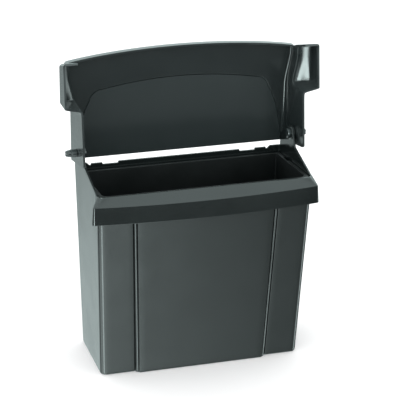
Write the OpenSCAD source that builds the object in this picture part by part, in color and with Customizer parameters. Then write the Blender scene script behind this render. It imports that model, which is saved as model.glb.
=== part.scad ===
// Wall-mounted waste bin: a drafted tub with a bowed front lip, a hinged lid that stands
// open on its stop, two snap-in hinge pins with collars, and a lift-out rigid liner.
// Frame: +Z up, the front faces -Y, the wall side faces +Y, millimetres.
// Origin: the centre of the base face.

/* [Body] */
// Width of the body at its base
base_w = 252.6; // [220:0.2:300]
// Depth of the body at its base
base_d = 100.8; // [90:0.2:120]
// Outward slope of each side wall, degrees
side_draft = 1.65; // [1:0.05:2]
// Outward slope of the front wall, degrees
front_draft = 5.6; // [4:0.1:7]
// Height of the front rim
front_rim_h = 244.4; // [210:0.2:290]
// Height of the back rim below the front rim
back_rim_drop = 5.6; // [3:0.1:8]
// Wall thickness
wall = 2.5; // [1.8:0.1:3.5]
// Radius of the front vertical corners
front_corner_r = 7.5; // [4:0.5:12]
// Radius of the back vertical corners
back_corner_r = 3.5; // [3:0.5:6]
// Rounding under the base
base_edge = 2.5; // [1:0.5:4]

/* [Back rim] */
// Width of the raised centre length
rise_w = 156; // [120:1:160]
// Height of the raised centre length
rise_h = 2.4; // [1:0.1:4.5]
// Width of each small raised tab
tab_w = 14.5; // [10:0.1:18]
// Distance between the two tabs' centres
tab_span = 211; // [190:0.1:214]
// Height of each small raised tab
tab_h = 2.3; // [1:0.1:4.5]
// Height of the back corners above the back rim
corner_rise = 3.7; // [2:0.1:6]
// Width of each raised back corner
corner_rise_w = 15.5; // [12:0.5:18]

/* [Front panel] */
// Width of the proud panel at the base
panel_base_w = 163; // [120:1:180]
// Width of the proud panel under the lip
panel_top_w = 177; // [130:1:190]
// How far the panel stands proud of the front wall at the base
panel_proud = 5; // [2.6:0.1:6]
// How far it stands proud under the lip
panel_proud_top = 0.8; // [0.3:0.1:3]
// Width of each sloping side of the panel
panel_side = 2.5; // [1:0.1:5]

/* [Lip] */
// How far the lip overhangs each side wall
lip_side = 7.6; // [4:0.1:9]
// How far the lip's band leans in towards its upper edge
lip_lean = 1.4; // [0:0.1:2.5]
// How far the lip's ends stand in front of the front wall
lip_front = 3.4; // [3:0.1:6]
// How far the middle of the lip bows further out
lip_bow = 9; // [4:0.1:12]
// Height of the lip's vertical band
lip_band_h = 21.8; // [16:0.1:28]
// Height of the sloping face above the band
lip_bevel_h = 11.9; // [8:0.1:16]
// Length of the lip's return along each side
lip_return = 13; // [10:0.5:20]
// Radius of the lip's front corners
lip_corner_r = 8; // [5:0.5:12]
// Wall thickness of the lip
lip_wall = 2.2; // [1.8:0.1:3]

/* [Hinge] */
// Distance of the hinge axis from the wall side
hinge_setback = 37.8; // [34:0.1:44]
// Height of the hinge axis above the front rim
hinge_rise = 25.9; // [22:0.1:32]
// Radius of the round hinge ends of the side wings
wing_r = 9.5; // [8:0.1:12]
// Length of the front rim's level return along each side
rim_return = 9; // [4:0.5:16]
// Distance of the wings' knee from the wall side
knee_setback = 56.7; // [52:0.1:66]
// Height of the wings' knee above the front rim
knee_rise = 13.6; // [6:0.1:14]
// Diameter of the hinge pin's shank
pin_d = 8; // [6:0.1:9]
// Diameter of the pin's head
pin_head_d = 12.5; // [10:0.1:14]
// Thickness of the pin's head
pin_head_t = 3.6; // [2:0.1:4]
// Outside diameter of the collar on each pin
collar_d = 10.4; // [9.6:0.1:13]
// Length of the collar
collar_l = 7; // [4:0.1:9]
// Length of the pin's barbed tip
tip_l = 6.4; // [5:0.1:9]
// How far the barb stands out of the shank
tip_barb = 0.7; // [0.4:0.1:1]
// Width of the slot that splits the tip
tip_slot = 1.6; // [1:0.1:2]

/* [Lid] */
// Gap between each wing and the lid's side skirt
lid_hinge_gap = 1.8; // [1:0.1:3]
// Thickness of the lid's walls
lid_wall = 2.4; // [1.8:0.1:3]
// Distance from the hinge axis to the middle of the lid's front edge
lid_reach = 116.4; // [104:0.2:130]
// Distance from the hinge axis back to the lid's rear edge
lid_rear = 21; // [16:0.2:22]
// Gap from the lid's outer face to the wall side when open
lid_wall_gap = 1.3; // [1.2:0.1:3]
// Depth of the side skirts in front of the hinge axis
skirt_d = 35.7; // [30:0.1:38]
// How much shallower the skirts get for each millimetre towards the lid's front
skirt_taper = 0.1; // [0:0.01:0.12]
// How much shorter the skirts' rear ends are than the rear edge
skirt_rear_cut = 13; // [8:0.5:14]
// How far each side of the lid widens towards its front
lid_widen = 6.6; // [3:0.1:8]
// Radius of the lid's front corners
lid_corner_r = 10; // [4:0.5:12]
// How much lower the front edge is at its corners than in its middle
arch_drop = 10.9; // [5:0.1:16]
// Depth of the front skirt
front_skirt = 11; // [8:0.1:16]
// Rise of the cheeks' front edge for each millimetre forward
cheek_rise = 0.3; // [0.1:0.02:0.32]
// How far each cheek stands out of the skirt
cheek_out = 13; // [11:0.1:16]
// Distance from the hinge axis to the cheeks' rear end
cheek_start = 60.4; // [54:0.1:64]
// How much further forward the cheeks start at their outer face
cheek_lean = 5.4; // [2:0.1:8]
// Distance behind the hinge axis at which the cheeks step out
cheek_step = 10; // [6:0.5:14]
// Length of the cheeks' sloping step
cheek_step_l = 12; // [8:0.5:14]
// How far the raised field stands out of the lid's top
field_h = 1; // [0.5:0.1:1]
// Distance from the hinge axis to the middle of the field's front edge
field_reach = 75.5; // [66:0.5:82]
// Width of the field at its front corners
field_w = 230; // [160:1:236]
// Width of the field at the lid's rear edge
field_rear_w = 262; // [200:1:266]
// Radius of the field's front corners
field_r = 16; // [8:0.5:18]

/* [Liner] */
// Gap between the liner and the body's walls
liner_gap = 3.5; // [3.2:0.1:6]
// Thickness of the liner's walls
liner_wall = 1.8; // [1.2:0.1:2.5]
// How far the liner's rim reaches out of its walls
liner_rim = 3; // [1.5:0.1:3]
// Thickness of the liner's rim
liner_rim_t = 2; // [1.5:0.1:3]
// Height of the liner's rim below the front rim, at the middle of the base
liner_drop = 7.1; // [6:0.1:12]
// Slope of the liner's rim, down towards the wall side, degrees
liner_slope = 4.9; // [2:0.1:5]
// Gap under the liner's floor
liner_floor_gap = 0.3; // [0.2:0.1:2]

/* [Wall mount] */
// Distance between the screw holes across the bin
screw_span_x = 160; // [100:1:180]
// Distance between the screw holes up the bin
screw_span_z = 120; // [80:1:150]
// Height of the middle of the screw holes
screw_mid_h = 140; // [100:1:150]
// Diameter of the screw holes
screw_hole_d = 5.5; // [4:0.1:7]

/* [Fits] */
// Radial clearance of the pin in its holes
pin_clear = 0.05; // [0.02:0.01:0.1]
// Gap between parts that pass each other
pass_gap = 0.4; // [0.3:0.05:1]

/* [Hidden] */
arc_steps = 8;
bow_steps = 24;
thin = 0.01;
back_y = base_d / 2;
back_rim_h = front_rim_h - back_rim_drop;
hinge_y = back_y - hinge_setback;
hinge_z = front_rim_h + hinge_rise;
knee_y = back_y - knee_setback;
knee_z = front_rim_h + knee_rise;
shell_top = hinge_z + wing_r + 5;
crease_z = front_rim_h - lip_bevel_h;
lip_z = crease_z - lip_band_h;
// The wings' flat hinge bosses, inside and outside
boss_in_x = half_w(hinge_z - wing_r) - wall - 0.1;
skirt_in_x = half_w(hinge_z + wing_r) + lid_hinge_gap;
boss_out_x = skirt_in_x - pass_gap;
skirt_x = skirt_in_x + lid_wall;
lid_front_x = skirt_x + lid_widen;
cheek_x = lid_front_x + cheek_out;
lid_back_t = hinge_setback - lid_wall_gap;
collar_x = skirt_x + pass_gap;
tip_x = collar_x + collar_l;
corner_top = arch(lid_front_x);
edge_s0 = corner_top + cheek_rise * (lid_back_t - front_skirt);
liner_inset = wall + liner_gap;
liner_floor = wall + liner_floor_gap;
// Room that the liner's rear leaves for the open lid as it is lifted out
liner_back_inset = lid_wall_gap + lid_wall + pass_gap;
liner_rim_h = front_rim_h - liner_drop;
plastic = "#3a4042";
plastic_inner = "#1d2022";
plastic_pin = "#2a2e30";

function half_w(z) = base_w / 2 + z * tan(side_draft);
function front_y(z) = -back_y - z * tan(front_draft);
function arc(c, r, a0, a1) =
    [for (i = [0:arc_steps]) let (a = a0 + (a1 - a0) * i / arc_steps) c + r * [cos(a), sin(a)]];
function smooth(u) = let (v = min(max(u, 0), 1)) v * v * (3 - 2 * v);
// Outline of the drafted tub at height z, set in by inset, and by rear on the wall side
function plan(z, inset, rear) =
    let (x = half_w(z) - inset, f = front_y(z) + inset, b = back_y - rear,
         rf = max(front_corner_r - inset, 1), rb = max(back_corner_r - inset, 1))
    concat(arc([x - rf, f + rf], rf, -90, 0), arc([x - rb, b - rb], rb, 0, 90),
           arc([rb - x, b - rb], rb, 90, 180), arc([rf - x, f + rf], rf, 180, 270));
// Outline of the lip, set in by inset
function lip_plan(inset) =
    let (x = half_w(crease_z) + lip_side - inset, r = max(lip_corner_r - inset, 1),
         f = front_y(crease_z) - lip_front + inset, b = front_y(crease_z) + lip_return)
    concat([[x, b]], arc([x - r, f + r], r, 0, -80),
           [for (i = [1:bow_steps - 1]) let (u = 1 - 2 * i / bow_steps)
               [(x - r) * u, f - lip_bow * (1 - u * u)]],
           arc([r - x, f + r], r, -100, -180), [[-x, b]]);
// Outline of the front rim, from which the lip's sloping face starts
function rim_plan() =
    let (x = half_w(front_rim_h), r = front_corner_r,
         f = front_y(front_rim_h), b = front_y(crease_z) + lip_return)
    concat([[x, b]], arc([x - r, f + r], r, 0, -90), arc([r - x, f + r], r, -90, -180), [[-x, b]]);
// Distance of the lid's front edge from the hinge axis, x from the middle
function arch(x) = lid_reach - arch_drop * pow(x / lid_front_x, 2);
// Half width of the lid at distance s from the hinge axis
function lid_x(s) = skirt_x + lid_widen * smooth((s - lid_reach * 0.45) / (lid_reach * 0.4));
// The lid's outline, set in by inset, with rounded front corners and an arched front edge
function lid_half(inset) =
    let (r = lid_corner_r - inset, x = lid_front_x - inset, n = bow_steps,
         s_end = arch(x - r) - inset - r)
    concat([for (i = [0:n]) let (s = -lid_rear + (s_end + lid_rear) * i / n) [min(lid_x(s) - inset, x), s]],
           arc([x - r, s_end], r, 5, 85),
           [for (i = [0:n]) let (v = (x - r) * (1 - i / n)) [v, arch(v) - inset]]);
function lid_outline(inset) =
    let (half = lid_half(inset))
    concat(half, [for (i = [len(half) - 2:-1:0]) [-half[i][0], half[i][1]]]);
// Depth of the side skirts at distance s from the hinge axis
function skirt_t(s) = skirt_d - skirt_taper * s;
// Where the skirts' front edge, through s0 beside the axis, meets their free edge
function edge_end(s0) = (s0 + cheek_rise * skirt_d) / (1 + cheek_rise * skirt_taper);
// Half of the raised field's front edge
function field_edge(x) = field_reach - 13 * pow(2 * x / field_w, 2);

module across(x0, x1) {
    translate([x0, 0, 0]) rotate([90, 0, 90]) linear_extrude(x1 - x0) children();
}

// Extrudes an (x, s) outline of the lid from t0 to t1 in front of the hinge axis
module lid_plate(t0, t1) {
    translate([0, -t0, 0]) rotate([90, 0, 0]) linear_extrude(t1 - t0) children();
}

module both_sides() {
    children();
    mirror([1, 0, 0]) children();
}

module tub(z0, z1, inset, rear, edge) {
    hull() {
        translate([0, 0, z0]) linear_extrude(thin) polygon(plan(z0, inset + edge, rear + edge));
        translate([0, 0, z0 + edge]) linear_extrude(thin) polygon(plan(z0 + edge, inset, rear));
        translate([0, 0, z1]) linear_extrude(thin) polygon(plan(z1, inset, rear));
    }
}

// The proud front panel, or with an inset the pocket behind it
module front_panel(inset) {
    z_top = crease_z - lip_wall;
    hull() for (end = [[base_edge, panel_base_w / 2, panel_proud],
                       [z_top, panel_top_w / 2, panel_proud_top]])
        translate([0, 0, end[0]]) linear_extrude(thin)
            polygon([[-end[1] + inset, front_y(end[0]) + 2 * inset + 1],
                     [-end[1] + panel_side + inset, front_y(end[0]) - end[2] + inset],
                     [end[1] - panel_side - inset, front_y(end[0]) - end[2] + inset],
                     [end[1] - inset, front_y(end[0]) + 2 * inset + 1]]);
}

// What is left of the tub's upper edge: rims, back tabs and side wings
module rim_trim() {
    w = half_w(shell_top) + 1;
    far = base_d;
    translate([-w, -2 * far, -1]) cube([2 * w, 3 * far, back_rim_h + 1]);
    // front rim
    translate([-w, -2 * far, 0])
        cube([2 * w, 2 * far + front_y(front_rim_h) + front_corner_r, front_rim_h]);
    // back rim with its raised length, two tabs and corners
    corner_x = half_w(back_rim_h) - corner_rise_w;
    back_box_y = back_y - wall - thin;
    translate([-rise_w / 2, back_box_y, 0]) cube([rise_w, wall + 1, back_rim_h + rise_h]);
    both_sides() {
        translate([(tab_span - tab_w) / 2, back_box_y, 0]) cube([tab_w, wall + 1, back_rim_h + tab_h]);
        translate([0, back_y + 1, 0]) rotate([90, 0, 0]) linear_extrude(wall + 1 + thin)
            polygon([[corner_x - corner_rise, back_rim_h - 1], [corner_x + 1, back_rim_h + corner_rise],
                     [w, back_rim_h + corner_rise], [w, back_rim_h - 1]]);
        // side wing, whose upright rear edge is the open lid's stop
        across(half_w(0) - 8, w) wing_profile();
    }
}

module wing_profile() {
    rear_y = back_y - lid_wall_gap - lid_wall - pass_gap;
    low = back_rim_h - 1;
    polygon(concat([[front_y(front_rim_h), low], [front_y(front_rim_h), front_rim_h],
                    [front_y(front_rim_h) + rim_return, front_rim_h], [knee_y, knee_z]],
                   arc([hinge_y, hinge_z], wing_r, 140, 20),
                   [[rear_y, hinge_z - wing_r], [rear_y, low]]));
}

// The lip's band, leaning in by lip_lean up to its crease
module lip_band(inset, z0, z1) {
    hull() {
        translate([0, 0, z0]) linear_extrude(thin) polygon(lip_plan(inset));
        translate([0, 0, z1 - thin]) linear_extrude(thin) polygon(lip_plan(inset + lip_lean));
    }
}

module lip() {
    difference() {
        union() {
            lip_band(0, lip_z, crease_z);
            hull() {
                translate([0, 0, crease_z - thin]) linear_extrude(thin) polygon(lip_plan(lip_lean));
                translate([0, 0, front_rim_h - thin]) linear_extrude(thin) polygon(rim_plan());
            }
        }
        lip_band(lip_wall, lip_z - 1, crease_z - lip_wall / 2);
    }
}

module outer_body() {
    color(plastic) difference() {
        union() {
            intersection() {
                tub(0, shell_top, 0, 0, base_edge);
                rim_trim();
            }
            front_panel(0);
            lip();
            both_sides() translate([boss_in_x, hinge_y, hinge_z]) rotate([0, 90, 0])
                cylinder(r = wing_r - 0.5, h = boss_out_x - boss_in_x, $fn = 48);
        }
        difference() {
            tub(wall, shell_top + 1, wall, wall, base_edge);
            both_sides() translate([boss_in_x, hinge_y, hinge_z]) rotate([0, 90, 0])
                cylinder(r = wing_r - 0.5, h = boss_out_x - boss_in_x, $fn = 48);
        }
        front_panel(wall);
        both_sides() translate([boss_in_x - 1, hinge_y, hinge_z]) rotate([0, 90, 0])
            cylinder(d = pin_d + 2 * pin_clear, h = boss_out_x - boss_in_x + 2, $fn = 48);
        for (x = [-1, 1], z = [-1, 1])
            translate([x * screw_span_x / 2, back_y + 1, screw_mid_h + z * screw_span_z / 2])
                rotate([90, 0, 0]) cylinder(d = screw_hole_d, h = wall + 2, $fn = 32);
    }
}

// Side view of the skirts: slanted rear end, tapering free edge, front edge rising forwards
module skirt_profile() {
    r = 5;
    rear_s = skirt_rear_cut - lid_rear;
    s_front = edge_end(edge_s0);
    polygon(concat([[lid_back_t, -lid_rear]], arc([r - skirt_t(rear_s), rear_s + r], r, 270, 180),
                   [[-skirt_t(s_front), s_front], [lid_back_t - front_skirt, corner_top],
                    [lid_back_t - front_skirt, corner_top - lid_corner_r],
                    [lid_back_t, corner_top - lid_corner_r]]));
}

module skirt_band() {
    n = bow_steps;
    s_end = lid_reach * 1.1;
    polygon(concat([for (i = [0:n]) let (s = -lid_rear + (s_end + lid_rear) * i / n) [lid_x(s), s]],
                   [for (i = [n:-1:0]) let (s = -lid_rear + (s_end + lid_rear) * i / n)
                       [lid_x(s) - lid_wall, s]]));
}

// The cheek's volume, or with an inset the hollow in it, which opens into the lid
module cheek(inset) {
    n = bow_steps;
    s_max = 1.5 * lid_reach;
    s0 = edge_s0 - 1.05 * inset;
    past = inset > 0 ? 1 : 0;
    intersection() {
        linear_extrude(s_max)
            polygon([[0, cheek_step - inset], [lid_front_x - inset, cheek_step - inset],
                     [cheek_x - inset, cheek_step - cheek_step_l - inset],
                     [cheek_x - inset, -skirt_d - 1], [0, -skirt_d - 1]]);
        across(0, cheek_x + 1)
            polygon([[cheek_step, 0], [cheek_step, s0 - cheek_rise * cheek_step],
                     [-skirt_t(edge_end(s0)) - past, edge_end(s0) + past * cheek_rise],
                     [-skirt_t(0) - past, 0]]);
        lid_plate(-cheek_step, skirt_d + 2)
            polygon(concat([[cheek_x, cheek_start + cheek_lean + inset], [cheek_x + 1, s_max]],
                           [for (i = [n:-1:0]) let (s = cheek_start + inset + (s_max - cheek_start) * i / n)
                               [lid_x(s) - lid_wall - past, s]],
                           [[skirt_x, cheek_start + inset]]));
    }
}

module field_outline() {
    corner_x = field_w / 2 - field_r;
    corner_s = field_edge(corner_x) - field_r;
    polygon(concat([[field_rear_w / 2, -lid_rear - 1]],
                   arc([corner_x, corner_s], field_r, 15, 80),
                   [for (i = [1:bow_steps - 1]) let (x = corner_x * (1 - 2 * i / bow_steps)) [x, field_edge(x)]],
                   arc([-corner_x, corner_s], field_r, 100, 165),
                   [[-field_rear_w / 2, -lid_rear - 1]]));
}

module lid() {
    color(plastic) translate([0, hinge_y, hinge_z]) difference() {
        union() {
            lid_plate(-lid_back_t, lid_wall - lid_back_t) polygon(lid_outline(0));
            intersection() {
                lid_plate(-lid_back_t - field_h, -lid_back_t) field_outline();
                lid_plate(-lid_back_t - field_h, -lid_back_t) polygon(lid_outline(lid_wall));
            }
            lid_plate(-lid_back_t, front_skirt - lid_back_t) difference() {
                polygon(lid_outline(0));
                polygon(lid_outline(lid_wall));
            }
            both_sides() {
                intersection() {
                    lid_plate(-lid_back_t, skirt_d) skirt_band();
                    across(0, cheek_x) skirt_profile();
                }
                cheek(0);
            }
        }
        both_sides() {
            cheek(lid_wall);
            translate([skirt_in_x - 1, 0, 0]) rotate([0, 90, 0])
                cylinder(d = pin_d + 2 * pin_clear, h = lid_wall + 2, $fn = 48);
        }
        intersection() {
            lid_plate(lid_wall - lid_back_t - field_h, lid_wall - lid_back_t + thin) field_outline();
            lid_plate(-lid_back_t, 0) polygon(lid_outline(lid_wall + 1));
        }
    }
}

// A snap-in pin on the right-hand side: head inside the wing, split barbed tip outside
module hinge_pin() {
    color(plastic_pin) translate([0, hinge_y, hinge_z]) rotate([0, 90, 0]) difference() {
        union() {
            translate([0, 0, boss_in_x - pin_head_t]) cylinder(d = pin_head_d, h = pin_head_t, $fn = 48);
            translate([0, 0, boss_in_x - thin]) cylinder(d = pin_d, h = tip_x - boss_in_x + 2 * thin, $fn = 48);
            translate([0, 0, tip_x]) cylinder(r1 = pin_d / 2 + tip_barb, r2 = pin_d / 2 - 0.6, h = tip_l, $fn = 48);
        }
        translate([-pin_d, -tip_slot / 2, tip_x - 1]) cube([2 * pin_d, tip_slot, tip_l + 2]);
    }
}

module pin_collar() {
    color(plastic_pin) translate([collar_x, hinge_y, hinge_z]) rotate([0, 90, 0]) difference() {
        cylinder(d = collar_d, h = collar_l, $fn = 48);
        translate([0, 0, -1]) cylinder(d = pin_d + 2 * pin_clear, h = collar_l + 2, $fn = 48);
    }
}

// Half-space above the liner's rim, lowered by drop
module above_rim(drop) {
    translate([0, 0, liner_rim_h - drop]) rotate([-liner_slope, 0, 0])
        translate([-base_w, -2 * base_d, 0]) cube([2 * base_w, 4 * base_d, base_w]);
}

module rigid_liner() {
    rim_inset = liner_inset - liner_rim;
    color(plastic_inner) difference() {
        union() {
            tub(liner_floor, front_rim_h + 4, liner_inset, liner_back_inset + liner_rim, 2 * base_edge);
            intersection() {
                tub(liner_floor, front_rim_h + 4, rim_inset, liner_back_inset, base_edge);
                above_rim(liner_rim_t);
            }
        }
        tub(liner_floor + liner_wall, front_rim_h + 5, liner_inset + liner_wall,
            liner_back_inset + liner_rim + liner_wall, 2 * base_edge);
        above_rim(0);
        // notches that let the rim pass the pins' heads
        both_sides() translate([half_w(0) + 0.5, hinge_y - pin_head_d / 2 - 2, front_rim_h / 2])
            cube([20, pin_head_d + 4, front_rim_h]);
    }
}

outer_body();
lid();
rigid_liner();
mirror([1, 0, 0]) hinge_pin();  // hinge_pin_left
hinge_pin();  // hinge_pin_right
mirror([1, 0, 0]) pin_collar();  // pin_collar_left
pin_collar();  // pin_collar_right
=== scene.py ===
"""A slim wall-mounted waste bin of moulded plastic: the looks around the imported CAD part."""
import math

import bmesh
import bpy
from mathutils import Matrix, Vector


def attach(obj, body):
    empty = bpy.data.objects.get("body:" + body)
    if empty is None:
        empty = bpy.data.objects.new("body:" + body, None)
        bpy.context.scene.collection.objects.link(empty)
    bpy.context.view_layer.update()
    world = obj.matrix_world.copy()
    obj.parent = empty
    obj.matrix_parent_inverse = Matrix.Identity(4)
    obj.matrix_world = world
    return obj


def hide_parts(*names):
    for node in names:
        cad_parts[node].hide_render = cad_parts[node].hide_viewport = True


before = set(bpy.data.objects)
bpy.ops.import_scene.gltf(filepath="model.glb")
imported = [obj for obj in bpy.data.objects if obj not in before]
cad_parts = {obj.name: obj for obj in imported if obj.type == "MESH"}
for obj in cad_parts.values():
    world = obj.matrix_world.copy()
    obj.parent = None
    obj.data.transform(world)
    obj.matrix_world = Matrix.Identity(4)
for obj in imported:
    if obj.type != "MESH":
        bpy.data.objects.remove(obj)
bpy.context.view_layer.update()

MM = 0.001

# ---- driving dimensions of the part, in millimetres ----
BASE_W, BASE_D = 252.6, 100.8
SIDE_DRAFT, FRONT_DRAFT = math.radians(1.65), math.radians(5.6)
FRONT_RIM_H, BACK_RIM_H = 244.4, 238.8
WALL = 2.5
FRONT_R, BACK_R, BASE_R = 7.5, 3.5, 2.5
RISE_W, RISE_H = 156.0, 2.4
TAB_W, TAB_SPAN, TAB_H = 14.5, 211.0, 2.3
CORNER_RISE, CORNER_RISE_W = 3.7, 15.5
PANEL_BASE_W, PANEL_TOP_W = 163.0, 177.0
PANEL_PROUD, PANEL_PROUD_TOP = 5.0, 0.8
LIP_SIDE, LIP_FRONT, LIP_BOW, LIP_LEAN = 7.6, 3.4, 9.0, 1.4
LIP_BAND_H, LIP_BEVEL_H, LIP_WALL, LIP_R, LIP_WEDGE = 21.8, 11.9, 2.2, 3.6, 16.5
HINGE_Y, HINGE_Z = 12.6, 270.3
WING_R, RIM_RETURN = 9.5, 9.0
KNEE_Y, KNEE_Z = -6.3, 258.0
WING_REAR_Y = 46.3
PIN_D, PIN_HEAD_D, PIN_HEAD_T = 8.0, 12.5, 3.6
COLLAR_D, COLLAR_L, TIP_L, TIP_BARB, TIP_SLOT = 10.4, 7.0, 6.4, 0.7, 1.6
LID_GAP, LID_WALL, LID_REACH, LID_REAR, LID_BACK_T = 1.8, 2.4, 116.4, 21.0, 36.5
SKIRT_D, SKIRT_TAPER, SKIRT_REAR_S = 35.7, 0.1, -8.0
LID_WIDEN, ARCH_DROP, FRONT_SKIRT, LID_CORNER_R = 6.6, 10.9, 11.0, 4.5
CHEEK_OUT, CHEEK_START, CHEEK_LEAN, CHEEK_RISE = 13.0, 60.4, 5.4, 0.3
CHEEK_STEP_T0, CHEEK_STEP_T1, CHEEK_R = -11.0, 2.0, 3.6
FIELD_H, FIELD_REACH, FIELD_R, FIELD_DROP = 1.0, 75.5, 18.0, 13.0
FIELD_W, FIELD_REAR_W = 230.0, 262.0
LINER_GAP, LINER_WALL, LINER_RIM, LINER_RIM_T = 3.5, 1.8, 3.0, 2.0
LINER_RIM_H, LINER_SLOPE, LINER_REAR, LINER_FLOOR = 237.3, math.radians(4.9), 4.1, 2.8
LINER_R = 9.0
SCREW_X, SCREW_Z, SCREW_MID, SCREW_D = 160.0, 120.0, 140.0, 5.5
PASS_GAP, PIN_CLEAR = 0.4, 0.05
MERGE_DIST, LID_MERGE_DIST = 0.002, 0.01
SIDE_FAN = 30.0

BACK_Y = BASE_D / 2
LID_FIELD_Y = HINGE_Y + LID_BACK_T + FIELD_H
CREASE_Z = FRONT_RIM_H - LIP_BEVEL_H
LIP_Z = CREASE_Z - LIP_BAND_H


def half_w(z):
    """Half of the tub's outer width at height z."""
    return BASE_W / 2 + z * math.tan(SIDE_DRAFT)


def front_y(z):
    """The tub's outer front face at height z."""
    return -BACK_Y - z * math.tan(FRONT_DRAFT)


SKIRT_IN_X = half_w(HINGE_Z + WING_R) + LID_GAP
SKIRT_X = SKIRT_IN_X + LID_WALL
LID_FRONT_X = SKIRT_X + LID_WIDEN
CHEEK_X = LID_FRONT_X + CHEEK_OUT
EAR_IN_X = LID_FRONT_X - 4.6
BOSS_IN_X = half_w(HINGE_Z - WING_R) - WALL - 0.1
COLLAR_X = SKIRT_X + PASS_GAP
TIP_X = COLLAR_X + COLLAR_L


def smooth(u):
    u = min(max(u, 0.0), 1.0)
    return u * u * (3 - 2 * u)


def lerp(a, b, u):
    return a + (b - a) * u


# ---- mesh helpers ----
def new_object(name, vertices, faces):
    """A mesh object from points in millimetres."""
    mesh = bpy.data.meshes.new(name)
    mesh.from_pydata([Vector(v) * MM for v in vertices], [], faces)
    obj = bpy.data.objects.new(name, mesh)
    bpy.context.scene.collection.objects.link(obj)
    return obj


def clean(obj):
    """Merges doubled points and turns every face outwards."""
    bm = bmesh.new()
    bm.from_mesh(obj.data)
    bmesh.ops.remove_doubles(bm, verts=bm.verts, dist=MERGE_DIST * MM)
    bmesh.ops.dissolve_degenerate(bm, edges=bm.edges, dist=MERGE_DIST * MM)
    bmesh.ops.recalc_face_normals(bm, faces=bm.faces)
    bm.to_mesh(obj.data)
    bm.free()


def loft(name, rows, closed=True, caps=(False, False), keep=None):
    """Quads between rows of equal length. keep(i, j): whether the quad after point j of row i stays."""
    n = len(rows[0])
    points = [p for row in rows for p in row]
    faces = []
    for i in range(len(rows) - 1):
        for j in range(n if closed else n - 1):
            k = (j + 1) % n
            if keep is None or keep(i, j):
                faces.append((i * n + j, i * n + k, (i + 1) * n + k, (i + 1) * n + j))
    if caps[0]:
        faces.append(tuple(range(n))[::-1])
    if caps[1]:
        last = (len(rows) - 1) * n
        faces.append(tuple(last + j for j in range(n)))
    return new_object(name, points, faces)


def lathe(name, profile, x_sign, steps=48):
    """Turns an (x, radius) profile about the hinge axis, closed at both ends."""
    rows = [[(x_sign * x, HINGE_Y + r * math.cos(a), HINGE_Z + r * math.sin(a))
             for a in (2 * math.pi * k / steps for k in range(steps))] for x, r in profile]
    return loft(name, rows, caps=(True, True))


def apply_modifiers(obj):
    """Bakes the modifiers into the mesh."""
    depsgraph = bpy.context.evaluated_depsgraph_get()
    mesh = bpy.data.meshes.new_from_object(obj.evaluated_get(depsgraph))
    obj.modifiers.clear()
    obj.data = mesh


def cut(obj, cutters):
    """Takes the cutters out of obj and deletes them."""
    for c in cutters:
        mod = obj.modifiers.new("cut", "BOOLEAN")
        mod.operation = "DIFFERENCE"
        mod.solver = "EXACT"
        mod.object = c
    bpy.context.view_layer.update()
    apply_modifiers(obj)
    for c in cutters:
        bpy.data.objects.remove(c)


def join(obj, others):
    """Adds the others' meshes to obj."""
    bm = bmesh.new()
    bm.from_mesh(obj.data)
    for o in others:
        bm.from_mesh(o.data)
        bpy.data.objects.remove(o)
    bm.to_mesh(obj.data)
    bm.free()


def shade(obj, degrees=32):
    """Smooth shading that keeps edges sharper than this angle."""
    obj.data.shade_smooth()
    obj.data.set_sharp_from_angle(angle=math.radians(degrees))
    normals = obj.modifiers.new("normals", "WEIGHTED_NORMAL")
    normals.keep_sharp = True


def finish_piece(obj, body, nodes, material):
    """Gives a piece its material and its body, and hides the CAD nodes it stands for."""
    obj.data.materials.clear()
    obj.data.materials.append(material)
    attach(obj, body)
    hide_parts(*nodes)


# ---- columns round the tub: each is a function of height and inset ----
def panel_half(z):
    return lerp(PANEL_BASE_W, PANEL_TOP_W, z / CREASE_Z) / 2


EDGE = 3.4
EDGE_HALF_STEPS = (0.4, 0.8, 1.2, 1.7, 2.1, 2.5, 2.9, EDGE)
EDGE_STEPS = (*(-d for d in EDGE_HALF_STEPS[::-1]), 0, *EDGE_HALF_STEPS)


def panel_out(d, z):
    """How far the front stands out at d from the panel's edge: a proud panel, a bead and two grooves."""
    proud = lerp(PANEL_PROUD, PANEL_PROUD_TOP, min(z / CREASE_Z, 1))
    ramp = proud * (1 - smooth((d + EDGE) / (2 * EDGE)))
    groove = sum(math.exp(-((d - c) / 0.66) ** 2) for c in (-1.9, 1.9))
    bead = 0.3 * math.exp(-(d / 0.8) ** 2)
    return ramp - 1.5 * groove + bead


def half_columns():
    """(kind, value) from the middle of the front, round the right-hand side, to the middle of the back."""
    cols = [("panel", k / 10) for k in range(10)]
    cols += [("edge", d) for d in EDGE_STEPS]
    cols += [("field", k / 6) for k in range(1, 7)]
    cols += [("front corner", -90 + 90 * k / 10) for k in range(1, 11)]
    cols += [("side", y) for y in side_stations()]
    cols += [("back corner", 90 * k / 5) for k in range(0, 6)]
    cols += [("back", x) for x in back_stations()]
    return cols


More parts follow.
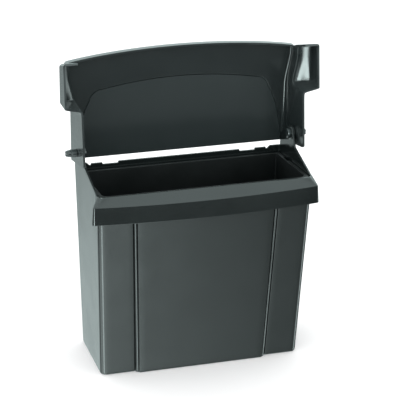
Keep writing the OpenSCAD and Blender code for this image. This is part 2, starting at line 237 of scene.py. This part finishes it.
def wing_outline():
    """(y, height) of the rim along one side, from the front corner to the back one."""
    points = [(-64.5, FRONT_RIM_H), (-62, FRONT_RIM_H + 0.4)]
    start = (front_y(FRONT_RIM_H) + RIM_RETURN, FRONT_RIM_H)
    for k in range(1, 8):
        u = k / 8
        points.append((lerp(start[0], KNEE_Y, u), lerp(start[1], KNEE_Z, u)))
    arc = [(HINGE_Y + WING_R * math.cos(math.radians(a)), HINGE_Z + WING_R * math.sin(math.radians(a)))
           for a in range(140, 19, -10)]
    knee_end = arc[0]
    points += [(lerp(KNEE_Y, knee_end[0], u), lerp(KNEE_Z, knee_end[1], u)) for u in (0, 0.08, 0.5, 0.85)]
    points += arc
    rear_top = HINGE_Z - WING_R
    points += [(lerp(arc[-1][0], WING_REAR_Y, u), lerp(arc[-1][1], rear_top, u))
               for u in (0.3, 0.6, 0.9, 0.97)]
    points += [(WING_REAR_Y - 0.25, rear_top - 0.35), (WING_REAR_Y, rear_top - 1.4)]
    low = BACK_RIM_H + CORNER_RISE
    points += [(WING_REAR_Y + 0.04, low + 0.6), (WING_REAR_Y + 0.2, low)]
    return points


WING = wing_outline()


def side_stations():
    return [y for y, z in WING]


def rim_height(kind, value):
    if kind == "side":
        return dict(WING)[value]
    if kind == "back corner":
        return BACK_RIM_H + CORNER_RISE
    if kind == "back":
        return back_height(value)
    return FRONT_RIM_H


def back_height(x):
    edge = half_w(BACK_RIM_H) - CORNER_RISE_W
    rise = RISE_H * smooth((RISE_W / 2 + 0.6 - x) / 0.8)
    tab = TAB_H * smooth((TAB_W / 2 + 0.4 - abs(x - TAB_SPAN / 2)) / 0.8)
    corner = CORNER_RISE * smooth((x - edge + CORNER_RISE) / (CORNER_RISE + 1))
    return BACK_RIM_H + max(rise, tab, corner)


def back_stations():
    edge = half_w(BACK_RIM_H) - CORNER_RISE_W
    steps = {0.0, 26.0, 52.0, 72.0, 92.0}
    for x in (RISE_W / 2, (TAB_SPAN - TAB_W) / 2, (TAB_SPAN + TAB_W) / 2):
        steps |= {x - 0.6, x - 0.2, x + 0.2, x + 0.6}
    steps |= {TAB_SPAN / 2, edge - CORNER_RISE, edge - 2.6, edge - 1.3, edge, edge + 1, edge + 6}
    return sorted(steps, reverse=True)


def tub_point(kind, value, z, inset, rear=None, corner=FRONT_R):
    """A point of the drafted tub's right half at height z."""
    rear = inset if rear is None else rear
    hw, fy, by = half_w(z) - inset, front_y(z) + inset, BACK_Y - rear
    rf, rb = max(corner - inset, 1), max(BACK_R - inset, 1)
    flat = hw - rf
    if kind == "panel":
        return value * (panel_half(z) - EDGE), fy
    if kind == "edge":
        return panel_half(z) + value, fy
    if kind == "field":
        return lerp(panel_half(z) + EDGE, flat, value), fy
    if kind == "front corner":
        a = math.radians(value)
        return flat + rf * math.cos(a), fy + rf + rf * math.sin(a)
    if kind == "side":
        start, end = fy + rf, by - rb
        top_start = front_y(FRONT_RIM_H) + FRONT_R
        behind_first = max(value - WING[0][0], 0.0)
        fade = max(0.0, 1 - behind_first / SIDE_FAN)
        return hw, min(value + (start - top_start) * fade, end)
    if kind == "back corner":
        a = math.radians(value)
        return hw - rb + rb * math.cos(a), by - rb + rb * math.sin(a)
    return min(value, hw - rb), by


def lip_point(kind, value, inset):
    """A point of the lip's outline for the same column, and how much of the lip stands out there."""
    x_lip = half_w(CREASE_Z) + LIP_SIDE - inset
    r = max(LIP_R - inset, 1)
    fy = front_y(CREASE_Z) - LIP_FRONT + inset
    if kind in ("panel", "edge", "field"):
        x, _ = tub_point(kind, value, CREASE_Z, 0)
        u = x / (half_w(CREASE_Z) - FRONT_R)
        return u * (x_lip - r), fy - LIP_BOW * (1 - u * u), 1.0
    if kind == "front corner":
        a = math.radians(value)
        return x_lip - r + r * math.cos(a), fy + r + r * math.sin(a), 1.0
    if kind == "side":
        wall_y = tub_point(kind, value, CREASE_Z, 0)[1]
        first = tub_point("front corner", 0, CREASE_Z, 0)[1]
        end = front_y(CREASE_Z) - LIP_FRONT + LIP_WEDGE
        share = min(max((end - wall_y) / (end - first), 0), 1)
        y = lerp(wall_y, fy + r + (wall_y - first) * 0.9, share)
        return lerp(half_w(CREASE_Z), x_lip, share), y, share
    return None, None, 0.0


def body_column(kind, value):
    """The closed section of one column, from the floor inside to the base outside."""
    h = rim_height(kind, value)

    def wall(z, inset):
        x, y = tub_point(kind, value, z, inset)
        if kind == "edge" and inset < WALL / 2:
            y -= panel_out(value, z)
        elif kind == "panel" and inset < WALL / 2:
            y -= panel_out(-9, z)
        return x, y, z

    def plain(z, inset):
        x, y = tub_point(kind, value, z, inset)
        return x, y, z

    share = lip_point(kind, value, 0)[2]
    folded = smooth(share / 0.35)

    def lip(z_out, z_flat, inset):
        """A point of the lip, sliding onto the wall as the lip fades out."""
        z = lerp(z_flat, z_out, folded)
        if share == 0:
            return plain(z, 0)
        lean = LIP_LEAN * (z_out - LIP_Z) / LIP_BAND_H
        x, y, _ = lip_point(kind, value, lean + inset * share)
        return x, y, z

    points = [plain(WALL, WALL + 6), plain(WALL + 0.4, WALL + 3), plain(WALL + 1.8, WALL + 0.9)]
    points += [plain(z, WALL) for z in (WALL + 5, 40, 90, 140, 190, 225)]
    points += [plain(h - 0.75, WALL), plain(h - 0.2, WALL - 0.22), plain(h, WALL - 0.75)]
    points += [plain(h, 0.75), plain(h - 0.22, 0.22), plain(h - 0.8, 0)]
    top, crease = Vector(plain(h - 0.8, 0)), Vector(lip(CREASE_Z, CREASE_Z, 0))
    points += [tuple(top.lerp(crease, u)) for u in (0.3, 0.6, 0.94)]
    points.append(lip(CREASE_Z, CREASE_Z, 0.1))
    points += [lip(CREASE_Z - 0.35, CREASE_Z - 0.35, 0), lip(CREASE_Z - 8, CREASE_Z - 8, 0)]
    points += [lip(LIP_Z + 8, LIP_Z + 8, 0), lip(LIP_Z + 0.8, LIP_Z + 0.8, 0)]
    points.append(lip(LIP_Z + 0.22, LIP_Z + 0.4, 0.22))
    points += [lip(LIP_Z, LIP_Z, 0.8), lip(LIP_Z, LIP_Z - 0.4, LIP_WALL - 0.6)]
    points += [lip(LIP_Z + 0.6, LIP_Z - 0.8, LIP_WALL), lip(CREASE_Z - 5, LIP_Z - 1.2, LIP_WALL)]
    points += [wall(lerp(LIP_Z - 1.6, CREASE_Z - 4, folded), 0)]
    points += [wall(z, 0) for z in (LIP_Z - 4, 190, 165, 140, 115, 90, 65, 40, 20, 8, BASE_R)]
    points += [wall(BASE_R * (1 - math.sin(a)), BASE_R * (1 - math.cos(a)) * 0.98)
               for a in (math.radians(30), math.radians(60), math.radians(90))]
    return points


def mirrored(half):
    """A closed ring of columns from the right-hand half."""
    left = [[(-x, y, z) for x, y, z in col] for col in half[1:-1]][::-1]
    return half + left


def to_rows(columns):
    return [list(row) for row in zip(*columns)]


def build_body():
    half = [body_column(kind, value) for kind, value in half_columns()]
    body = loft("bin_body", to_rows(mirrored(half)), caps=(True, True))
    clean(body)
    holes = []
    for sx in (-1, 1):
        for sz in (-1, 1):
            holes.append(hole(sx * SCREW_X / 2, SCREW_MID + sz * SCREW_Z / 2))
    cut(body, holes)
    boss_out = SKIRT_IN_X - PASS_GAP
    r = WING_R - 0.5
    bosses = []
    for side in (-1, 1):
        profile = [(BOSS_IN_X, r - 0.8), (BOSS_IN_X + 0.3, r), (boss_out - 0.6, r), (boss_out, r - 0.6)]
        ring = [(BOSS_IN_X, PIN_D / 2 + PIN_CLEAR), *profile, (boss_out, PIN_D / 2 + PIN_CLEAR)]
        bosses.append(tube("boss", ring, side))
    join(body, bosses)
    return body


def tube(name, ring, side, steps=48):
    """Turns a closed (x, radius) loop about the hinge axis."""
    rows = [[(side * x, HINGE_Y + r * math.cos(a), HINGE_Z + r * math.sin(a)) for x, r in ring]
            for a in (2 * math.pi * k / steps for k in range(steps))]
    rows.append(rows[0])
    obj = loft(name, rows)
    clean(obj)
    return obj


def hole(x, z):
    rows = [[(x + SCREW_D / 2 * math.cos(a), y, z + SCREW_D / 2 * math.sin(a))
             for a in (2 * math.pi * k / 32 for k in range(32))] for y in (BACK_Y + 2, BACK_Y - WALL - 2)]
    obj = loft("hole", rows, caps=(True, True))
    clean(obj)
    return obj


# ---- liner ----
def liner_column(kind, value):
    outer, inner = WALL + LINER_GAP, WALL + LINER_GAP + LINER_WALL

    def at(z, inset, drop=0.0, notch=False):
        """A point at height z, or that far under the sloping rim when z is None."""
        height = LINER_RIM_H if z is None else z
        for _ in range(3):
            rear = LINER_REAR + LINER_RIM + inset - outer
            x, y = tub_point(kind, value, height, inset, rear, LINER_R + inset)
            if z is None:
                height = LINER_RIM_H - y * math.tan(LINER_SLOPE) - drop
        if notch and abs(y - HINGE_Y) < PIN_HEAD_D / 2 + 2:
            x = min(x, half_w(0) + 0.4)
        return x, y, height

    rim = outer - LINER_RIM
    floor = LINER_FLOOR + LINER_WALL
    points = [at(floor, inner + 9), at(floor + 0.5, inner + 4), at(floor + 2.4, inner + 1.1)]
    points += [at(z, inner) for z in (floor + 6, 60, 120, 180, 215)]
    points += [at(None, inner, 1.0), at(None, inner - 0.25, 0.3), at(None, inner - 0.9, 0.0)]
    points += [at(None, rim + 0.7, 0.0, True), at(None, rim + 0.2, 0.25, True), at(None, rim, 0.8, True)]
    points += [at(None, rim, LINER_RIM_T - 0.4, True), at(None, rim + 0.4, LINER_RIM_T, True)]
    points += [at(None, outer, LINER_RIM_T + 0.1)]
    points += [at(z, outer) for z in (215, 180, 120, 60, LINER_FLOOR + 7)]
    points += [at(LINER_FLOOR + 2.8, outer + 0.9), at(LINER_FLOOR + 0.7, outer + 3.4)]
    points.append(at(LINER_FLOOR, outer + 8))
    return points


def build_liner():
    half = [liner_column(kind, value) for kind, value in half_columns() if kind != "edge"]
    liner = loft("bin_liner", to_rows(mirrored(half)), caps=(True, True))
    clean(liner)
    return liner


# ---- lid: a sheet of columns round its outline, thickened inwards ----
def arch(x):
    return LID_REACH - ARCH_DROP * (x / LID_FRONT_X) ** 2


def lid_x(s):
    return SKIRT_X + LID_WIDEN * smooth((s - LID_REACH * 0.45) / (LID_REACH * 0.4))


CORNERS = 7
SIDE_END_S = arch(LID_FRONT_X) - LID_CORNER_R
LEDGE_T = FRONT_SKIRT - LID_BACK_T


def front_edge(t):
    """Where the side skirts end in front, at depth t."""
    line = arch(LID_FRONT_X) + CHEEK_RISE * (t - LEDGE_T)
    return lerp(SIDE_END_S, line - ear_radius(t), into_ear(t))


def into_ear(t):
    """0 at the front skirt's edge, 1 where the ear starts."""
    return smooth((t - LEDGE_T) / (CHEEK_STEP_T0 - LEDGE_T))


def ear_radius(t):
    return min(CHEEK_R, CHEEK_OUT * step_out(t))


def step_out(t):
    return smooth((t - CHEEK_STEP_T0) / (CHEEK_STEP_T1 - CHEEK_STEP_T0))


def ear_top(k, t):
    """Point k, of CORNERS, of the wall that closes the ear in front: round its corner, then inwards."""
    r = ear_radius(t)
    top = arch(LID_FRONT_X) + CHEEK_RISE * (t - LEDGE_T)
    out = LID_FRONT_X + CHEEK_OUT * step_out(t)
    if k <= 4:
        a = math.radians(22.5 * k)
        ear = (out - r * (1 - math.cos(a)), top - r + r * math.sin(a))
    else:
        ear = (lerp(out - r, EAR_IN_X, (k - 4) / 3), top)
    corner = lid_edge("corner", 90 * k / CORNERS, 0)
    u = into_ear(t)
    return lerp(corner[0], ear[0], u), lerp(corner[1], ear[1], u), t


def skirt_end(s):
    """Depth of the skirts' free edge at s."""
    free = SKIRT_D - SKIRT_TAPER * SKIRT_REAR_S
    r = 5.0
    if s <= SKIRT_REAR_S:
        return lerp(-LID_BACK_T, free - r, (s + LID_REAR) / (SKIRT_REAR_S + LID_REAR))
    if s < SKIRT_REAR_S + r:
        return free - r + math.sqrt(max(r * r - (s - SKIRT_REAR_S - r) ** 2, 0))
    return SKIRT_D - SKIRT_TAPER * s


def cheek_s(s):
    return smooth((s - CHEEK_START) / CHEEK_LEAN)


def cheek(s, t):
    """How far the cheek stands out of the skirt."""
    return (CHEEK_X - lid_x(s)) * step_out(t) * cheek_s(s)


def lid_stations():
    """Right-hand columns from the rear to the middle of the front: (kind, value)."""
    s_list = [-LID_REAR, -20.6, -20, -18, -15, -12, -9.5, -8, -7.4, -6.4, -5, -3, 2, 12, 24, 36, 46, 54, 58]
    s_list += [CHEEK_START + CHEEK_LEAN * k / 8 for k in range(0, 9)]
    s_list += [68, 72, 77, 82, 87, 92, 96, SIDE_END_S]
    cols = [("side", s) for s in s_list]
    cols += [("corner", 90 * k / CORNERS) for k in range(1, CORNERS + 1)]
    cols += [("front", (LID_FRONT_X - LID_CORNER_R) * (1 - k / 18)) for k in range(1, 19)]
    return cols


def lid_edge(kind, value, inset):
    """The lid's outline, set in."""
    if kind == "side":
        return lid_x(value) - inset, value
    r = max(LID_CORNER_R - inset, 0.01)
    cx, cs = LID_FRONT_X - LID_CORNER_R, SIDE_END_S
    if kind == "corner":
        a = math.radians(value)
        if inset < LID_CORNER_R:
            return cx + r * math.cos(a), cs + r * math.sin(a)
        over = inset - LID_CORNER_R
        return cx - over, cs - over
    x = value * (cx - max(inset - LID_CORNER_R, 0)) / cx
    return x, arch(value) + (SIDE_END_S + LID_CORNER_R - arch(cx)) * abs(value / cx) ** 8 - inset


def field_point(kind, value, offset):
    """The embossed field's outline for the same column, moved outwards by offset."""
    cx = FIELD_W / 2 - FIELD_R
    cs = FIELD_REACH - FIELD_DROP * (2 * cx / FIELD_W) ** 2 - FIELD_R
    r = FIELD_R + offset
    if kind == "side":
        u = (value + LID_REAR) / (SIDE_END_S + LID_REAR)
        a = math.radians(12)
        end = (cx + r * math.cos(a), cs + r * math.sin(a))
        return lerp(FIELD_REAR_W / 2 + offset, end[0], u ** 2.4), lerp(-LID_REAR, end[1], u)
    if kind == "corner":
        a = math.radians(lerp(12, 80, value / 90))
        return cx + r * math.cos(a), cs + r * math.sin(a)
    x = value / (LID_FRONT_X - LID_CORNER_R) * (cx + r * math.cos(math.radians(80)))
    return x, FIELD_REACH - FIELD_DROP * (2 * x / FIELD_W) ** 2 + offset


def fillet_radius(kind, value):
    if kind == "side":
        return lerp(6.5, 4.2, smooth(value / SIDE_END_S))
    if kind == "corner":
        return lerp(4.2, 3.2, smooth(value / 90))
    return 3.2


LID_STEP_T = (-23.5, -21, -18, -15, -12.5, -11, -9.7, -8.4, -7.1, -5.8, -4.5, -3.2, -1.9, -0.6, 0.8, 2, 4, 8)
LID_END_U = (0.25, 0.5, 0.75, 0.93, 1.0)
FIELD_EDGE = ((-1.1, 1.0), (-0.55, 0.9), (0.0, 0.5), (0.55, 0.1), (1.1, 0.0))
PLATE_STEPS = (0.35, 0.7)
FILLET_STEPS = 6
FAN_S = 75.0
EAR_TOP_S = 120.2


def lid_column(kind, value):
    """One column, as (x, s, t) from the embossed field out to the skirt's free edge."""
    top = -LID_BACK_T
    end = skirt_end(fanned(value, EAR_TOP_S)) if kind == "side" else LEDGE_T
    points = []
    for offset, rise in FIELD_EDGE:
        points.append((*field_point(kind, value, offset), top - FIELD_H * rise))
    r = fillet_radius(kind, value)
    inner = lid_edge(kind, value, r)
    start = points[-1]
    for u in PLATE_STEPS:
        points.append((lerp(start[0], inner[0], u), lerp(start[1], inner[1], u), top))
    for k in range(FILLET_STEPS + 1):
        a = math.pi / 2 * k / FILLET_STEPS
        t = top + r * (1 - math.cos(a))
        if t > end:
            a = math.acos(max(1 - (end - top) / r, -1))
            t = end
        points.append((*lid_edge(kind, value, r * (1 - math.sin(a))), t))
    depths = [lerp(top + r, LEDGE_T, 0.5), LEDGE_T]
    if kind == "side":
        depths += list(LID_STEP_T) + [lerp(LID_STEP_T[-1], max(end, LID_STEP_T[-1]), u) for u in LID_END_U]
    elif kind == "corner":
        last = skirt_end(EAR_TOP_S)
        for t in depths:
            points.append((*lid_edge(kind, value, 0), t))
        for t in list(LID_STEP_T) + [lerp(LID_STEP_T[-1], last, u) for u in LID_END_U]:
            points.append(ear_top(round(value * CORNERS / 90), t))
        return points
    else:
        depths += [LEDGE_T] * (len(LID_STEP_T) + len(LID_END_U))
    for t in depths:
        t = min(t, end)
        if kind == "side":
            points.append(skirt_point(value, t, points[-1]))
        else:
            points.append((*lid_edge(kind, value, 0), t))
    return points


def fanned(s, top):
    """Spreads the columns past FAN_S so that the last one reaches top."""
    return s if s <= FAN_S else FAN_S + (s - FAN_S) * (top - FAN_S) / (SIDE_END_S - FAN_S)


def skirt_point(s, t, before):
    if t <= before[2] + 1e-6:
        return before
    s = fanned(s, front_edge(t))
    return lid_x(s) + cheek(s, t), s, t


def build_lid():
    cols = lid_stations()
    half = [lid_column(kind, value) for kind, value in cols]
    sides = len([1 for kind, _ in cols if kind == "side"])
    columns = half + [[(-x, s, t) for x, s, t in col] for col in half[:-1]][::-1]
    rows = [[(x, HINGE_Y - t, HINGE_Z + s) for x, s, t in row] for row in to_rows(columns)]
    ledge = len(FIELD_EDGE) + len(PLATE_STEPS) + FILLET_STEPS + 2
    n = len(columns)

    def keep(i, j):
        """Past the ledge only the side skirts and the ears go on."""
        return i < ledge or j < sides - 1 + CORNERS or j >= n - sides - CORNERS

    lid = loft("bin_lid", rows, closed=False, keep=keep)
    mesh = lid.data
    bm = bmesh.new()
    bm.from_mesh(mesh)
    bm.verts.ensure_lookup_table()
    bm.faces.new([bm.verts[j] for j in range(n)])
    bmesh.ops.remove_doubles(bm, verts=bm.verts, dist=LID_MERGE_DIST * MM)
    loose = [v for v in bm.verts if not v.link_faces]
    bmesh.ops.delete(bm, geom=loose, context="VERTS")
    bmesh.ops.dissolve_degenerate(bm, edges=bm.edges, dist=LID_MERGE_DIST * MM)
    bmesh.ops.recalc_face_normals(bm, faces=bm.faces)
    big = max(bm.faces, key=lambda f: f.calc_area())
    if big.normal.y < 0:
        bmesh.ops.reverse_faces(bm, faces=bm.faces)
    bm.to_mesh(mesh)
    bm.free()
    thick = lid.modifiers.new("thickness", "SOLIDIFY")
    thick.thickness = LID_WALL * MM
    thick.offset = -1
    edge = lid.modifiers.new("edges", "BEVEL")
    edge.width = 0.65 * MM
    edge.segments = 2
    edge.limit_method = "ANGLE"
    edge.angle_limit = math.radians(55)
    edge.use_clamp_overlap = True
    bpy.context.view_layer.update()
    apply_modifiers(lid)
    # Thickening throws some points of the rear corners past the field's plane: they are moved back to it.
    for v in lid.data.vertices:
        v.co.y = min(v.co.y, LID_FIELD_Y * MM)
    return lid


# ---- hinge pins and collars ----
def build_pin(side, name):
    head_in = BOSS_IN_X - PIN_HEAD_T
    r = PIN_D / 2
    profile = [(head_in, 0.6), (head_in, PIN_HEAD_D / 2 - 1.5), (head_in + 0.35, PIN_HEAD_D / 2 - 0.5),
               (head_in + 1.1, PIN_HEAD_D / 2), (BOSS_IN_X - 0.3, PIN_HEAD_D / 2),
               (BOSS_IN_X, PIN_HEAD_D / 2 - 0.3), (BOSS_IN_X, r), (TIP_X, r),
               (TIP_X + 0.05, r + TIP_BARB - 0.15), (TIP_X + 0.5, r + TIP_BARB),
               (TIP_X + TIP_L - 1.2, r - 0.35), (TIP_X + TIP_L - 0.4, r - 0.8), (TIP_X + TIP_L, r - 1.7),
               (TIP_X + TIP_L, 0.6)]
    pin = lathe(name, profile, side)
    clean(pin)
    x0, x1 = TIP_X - 1, TIP_X + TIP_L + 2
    rows = [[(side * x, HINGE_Y - 9, HINGE_Z + dz), (side * x, HINGE_Y + 9, HINGE_Z + dz)]
            for x, dz in ((x0, -TIP_SLOT / 2), (x1, -TIP_SLOT / 2), (x1, TIP_SLOT / 2), (x0, TIP_SLOT / 2))]
    corners = [p for row in rows for p in row]
    sides = [(0, 2, 4, 6), (1, 7, 5, 3), (0, 1, 3, 2), (2, 3, 5, 4), (4, 5, 7, 6), (6, 7, 1, 0)]
    slot = new_object("slot", corners, sides)
    clean(slot)
    cut(pin, [slot])
    return pin


def build_collar(side, name):
    a, b, r, bore = COLLAR_X, COLLAR_X + COLLAR_L, COLLAR_D / 2, PIN_D / 2 + PIN_CLEAR
    ring = [(a, bore + 0.2), (a, r - 0.4), (a + 0.4, r), (b - 0.9, r), (b - 0.3, r - 0.3), (b, r - 0.9),
            (b, bore + 0.3), (b - 0.3, bore), (a + 0.2, bore)]
    return tube(name, ring, side)


# ---- materials ----
def plastic(name, color, roughness, coat, grain, mottling, grooves=False):
    """Moulded plastic: mottled colour, worn edges, uneven gloss, fine grain, long ripples, and painted shade
    in grooves when asked.
    """
    mat = bpy.data.materials.new(name)
    mat.use_nodes = True
    nodes, links = mat.node_tree.nodes, mat.node_tree.links
    shader = nodes["Principled BSDF"]
    shader.inputs["IOR"].default_value = 1.5
    shader.inputs["Coat Roughness"].default_value = 0.09
    where = nodes.new("ShaderNodeTexCoord")

    def noise(scale, detail, rough=0.5):
        node = nodes.new("ShaderNodeTexNoise")
        node.inputs["Scale"].default_value = scale
        node.inputs["Detail"].default_value = detail
        node.inputs["Roughness"].default_value = rough
        links.new(where.outputs["Object"], node.inputs["Vector"])
        return node.outputs["Fac"]

    def ranged(value, low, high, out_low, out_high):
        node = nodes.new("ShaderNodeMapRange")
        node.interpolation_type = "SMOOTHSTEP"
        node.inputs["From Min"].default_value = low
        node.inputs["From Max"].default_value = high
        node.inputs["To Min"].default_value = out_low
        node.inputs["To Max"].default_value = out_high
        links.new(value, node.inputs["Value"])
        return node.outputs["Result"]

    def mix(factor, a, b):
        node = nodes.new("ShaderNodeMix")
        node.data_type = "RGBA"
        links.new(factor, node.inputs["Factor"])
        for socket, value in ((node.inputs["A"], a), (node.inputs["B"], b)):
            if hasattr(value, "links"):
                links.new(value, socket)
            else:
                socket.default_value = (*value, 1)
        return node.outputs["Result"]

    dark = tuple(c * (1 - mottling) for c in color)
    light = tuple(c * (1 + mottling) for c in color)
    mottled = mix(ranged(noise(9, 5), 0.35, 0.65, 0, 1), dark, light)
    specks = mix(ranged(noise(900, 2), 0.62, 0.75, 0, 0.35), mottled, tuple(c * 2.2 + 0.01 for c in color))
    geometry = nodes.new("ShaderNodeNewGeometry")
    edges = ranged(geometry.outputs["Pointiness"], 0.52, 0.6, 0, 0.45)
    worn = mix(edges, specks, tuple(c * 1.9 + 0.012 for c in color))
    shader.inputs["Coat Weight"].default_value = coat
    links.new(worn, shader.inputs["Base Color"])
    if grooves:
        # Painted shade: concave grooves and creases get a far darker colour and lose their specular and coat.
        painted_groove_shade = ranged(geometry.outputs["Pointiness"], 0.43, 0.485, 1, 0)
        links.new(mix(painted_groove_shade, worn, tuple(c * 0.2 for c in color)), shader.inputs["Base Color"])
        links.new(ranged(painted_groove_shade, 0, 1, 0.5, 0.02), shader.inputs["Specular IOR Level"])
        links.new(ranged(painted_groove_shade, 0, 1, coat, 0), shader.inputs["Coat Weight"])
    gloss = nodes.new("ShaderNodeMath")
    gloss.operation = "ADD"
    links.new(ranged(noise(22, 6, 0.6), 0.3, 0.7, roughness - 0.04, roughness + 0.05), gloss.inputs[0])
    links.new(ranged(noise(320, 3), 0.4, 0.7, -0.015, 0.03), gloss.inputs[1])
    links.new(gloss.outputs[0], shader.inputs["Roughness"])
    fine = nodes.new("ShaderNodeBump")
    fine.inputs["Strength"].default_value = grain
    fine.inputs["Distance"].default_value = 0.00012
    links.new(noise(1400, 3, 0.6), fine.inputs["Height"])
    ripple = nodes.new("ShaderNodeBump")
    ripple.inputs["Strength"].default_value = 0.25
    ripple.inputs["Distance"].default_value = 0.0006
    links.new(noise(14, 2), ripple.inputs["Height"])
    links.new(fine.outputs["Normal"], ripple.inputs["Normal"])
    links.new(ripple.outputs["Normal"], shader.inputs["Normal"])
    return mat


# ---- the set: floor, light and camera ----
FLOOR_SIZE = 60
FLOOR_COLOR = (0.98, 0.84, 0.85, 1)
LIGHT_TINT, SEEN_WHITE = (0.85, 1.0, 0.99, 1), (1, 1, 1, 1)
# Tall lights that only reflections see: middle and half width, low and high ends, in degrees, and level.
STRIPS = ((42, 11, -20, 12, 13.0), (45, 16, -42, -22, 4.0), (-80, 14, -40, 20, 3.0))
SENSOR_MM, LENS_MM = 36, 168.3
CAMERA_AT = (-0.5983, -2.0413, 1.0606)
CAMERA_TURN, CAMERA_TILT, CAMERA_ROLL = -16.66468, 90 - 22.03506, 0.54713


def build_floor():
    bpy.ops.mesh.primitive_plane_add(size=FLOOR_SIZE, location=(0, 0, 0))
    floor = bpy.context.object
    floor.name = "floor"
    mat = bpy.data.materials.new("pale_floor")
    mat.use_nodes = True
    shader = mat.node_tree.nodes["Principled BSDF"]
    shader.inputs["Base Color"].default_value = FLOOR_COLOR
    shader.inputs["Roughness"].default_value = 0.9
    shader.inputs["Specular IOR Level"].default_value = 0.1
    floor.data.materials.append(mat)
    floor.visible_glossy = False


def build_world():
    """A studio sky by direction: bright above, behind and low in front, dark at eye level in front.

    Heights and azimuths are in degrees, azimuth 0 in front and positive to the left. The camera sees white.
    """
    world = bpy.data.worlds.new("studio")
    bpy.context.scene.world = world
    world.use_nodes = True
    nodes, links = world.node_tree.nodes, world.node_tree.links
    background = nodes["Background"]
    where = nodes.new("ShaderNodeTexCoord")
    split = nodes.new("ShaderNodeSeparateXYZ")
    links.new(where.outputs["Generated"], split.inputs[0])

    def math_node(kind, a, b=0.0):
        node = nodes.new("ShaderNodeMath")
        node.operation = kind
        for socket, value in ((node.inputs[0], a), (node.inputs[1], b)):
            if isinstance(value, (int, float)):
                socket.default_value = value
            else:
                links.new(value, socket)
        return node.outputs[0]

    def ramp(value, low, high, out_low=0.0, out_high=1.0):
        node = nodes.new("ShaderNodeMapRange")
        node.interpolation_type = "SMOOTHSTEP"
        for key, number in (("From Min", low), ("From Max", high), ("To Min", out_low), ("To Max", out_high)):
            node.inputs[key].default_value = number
        links.new(value, node.inputs["Value"])
        return node.outputs["Result"]

    x, y, z = split.outputs
    left = math_node("MULTIPLY", x, -1.0)
    front = math_node("MULTIPLY", y, -1.0)
    azimuth = math_node("MULTIPLY", math_node("ARCTAN2", left, front), 180 / math.pi)
    height = math_node("MULTIPLY", math_node("ARCSINE", z), 180 / math.pi)

    def strip(centre, half, low, high, level):
        off = math_node("ABSOLUTE", math_node("SUBTRACT", azimuth, centre))
        across = ramp(off, half * 0.55, half, 1.0, 0.0)
        up = math_node("MULTIPLY", ramp(height, low - 6, low), ramp(height, high, high + 8, 1.0, 0.0))
        return math_node("MULTIPLY", math_node("MULTIPLY", across, up), level)

    above = ramp(height, -9, -2, 0.0, 1.55)
    turned = math_node("ABSOLUTE", azimuth)
    below = math_node("MULTIPLY", ramp(height, -32, -26, 1.0, 0.0), ramp(azimuth, -23, -11, 0.4, 2.3))
    below = math_node("MULTIPLY", below, ramp(turned, 100, 125, 1.0, 0.0))
    behind = math_node("MULTIPLY", ramp(turned, 118, 150), ramp(height, -32, -17, 1.0, 0.25))
    horizon = math_node("MULTIPLY", ramp(azimuth, -34, -32, 0.0, 0.22), ramp(height, -30, -24))
    total = math_node("ADD", math_node("MAXIMUM", math_node("MAXIMUM", above, below), behind), horizon)
    path = nodes.new("ShaderNodeLightPath")
    strips = strip(*STRIPS[0])
    for values in STRIPS[1:]:
        strips = math_node("ADD", strips, strip(*values))
    total = math_node("ADD", total, math_node("MULTIPLY", strips, path.outputs["Is Glossy Ray"]))
    seen = path.outputs["Is Camera Ray"]
    unseen = math_node("MULTIPLY", total, math_node("SUBTRACT", 1.0, seen))
    links.new(math_node("ADD", unseen, seen), background.inputs["Strength"])
    tint = nodes.new("ShaderNodeMix")
    tint.data_type = "RGBA"
    tint.inputs["A"].default_value = LIGHT_TINT
    tint.inputs["B"].default_value = SEEN_WHITE
    links.new(seen, tint.inputs["Factor"])
    links.new(tint.outputs["Result"], background.inputs["Color"])


def build_camera():
    data = bpy.data.cameras.new("camera")
    data.sensor_width = SENSOR_MM
    data.lens = LENS_MM
    data.clip_start = 0.05
    camera = bpy.data.objects.new("camera", data)
    bpy.context.scene.collection.objects.link(camera)
    turn = Matrix.Rotation(math.radians(CAMERA_TURN), 4, "Z")
    tilt = Matrix.Rotation(math.radians(CAMERA_TILT), 4, "X")
    roll = Matrix.Rotation(math.radians(CAMERA_ROLL), 4, "Z")
    camera.matrix_world = Matrix.Translation(CAMERA_AT) @ turn @ tilt @ roll
    bpy.context.scene.camera = camera


bpy.context.scene.view_settings.view_transform = "Standard"
build_camera()
build_floor()
build_world()

# The lid's colour is set lighter than the tub's: painted light for the brighter inside of the lid.
SHELL_COLOR, LID_LIGHTENED_COLOR = (0.0085, 0.0105, 0.0105), (0.0145, 0.0175, 0.018)
# The liner's colour is set far darker than the tub's: painted shade for the dark inside of the bin.
LINER_DARKENED_COLOR, PIN_COLOR = (0.0018, 0.0024, 0.0026), (0.02, 0.025, 0.026)
shell_plastic = plastic("shell_plastic", SHELL_COLOR, 0.18, 0.35, grain=0.25, mottling=0.1, grooves=True)
lid_plastic = plastic("lid_plastic", LID_LIGHTENED_COLOR, 0.18, 0.3, grain=0.25, mottling=0.1)
liner_plastic = plastic("liner_plastic", LINER_DARKENED_COLOR, 0.5, 0.0, grain=0.35, mottling=0.12)
pin_plastic = plastic("pin_plastic", PIN_COLOR, 0.22, 0.3, grain=0.2, mottling=0.08)

body = build_body()
shade(body)
finish_piece(body, "bin", ["outer_body"], shell_plastic)
lid = build_lid()
shade(lid, 38)
finish_piece(lid, "lid", ["lid"], lid_plastic)
liner = build_liner()
shade(liner)
finish_piece(liner, "liner", ["rigid_liner"], liner_plastic)
for side, word in ((-1, "left"), (1, "right")):
    pin = build_pin(side, f"pin_{word}")
    shade(pin)
    finish_piece(pin, "bin", [f"hinge_pin_{word}"], pin_plastic)
    collar = build_collar(side, f"collar_{word}")
    shade(collar)
    finish_piece(collar, "bin", [f"pin_collar_{word}"], pin_plastic)
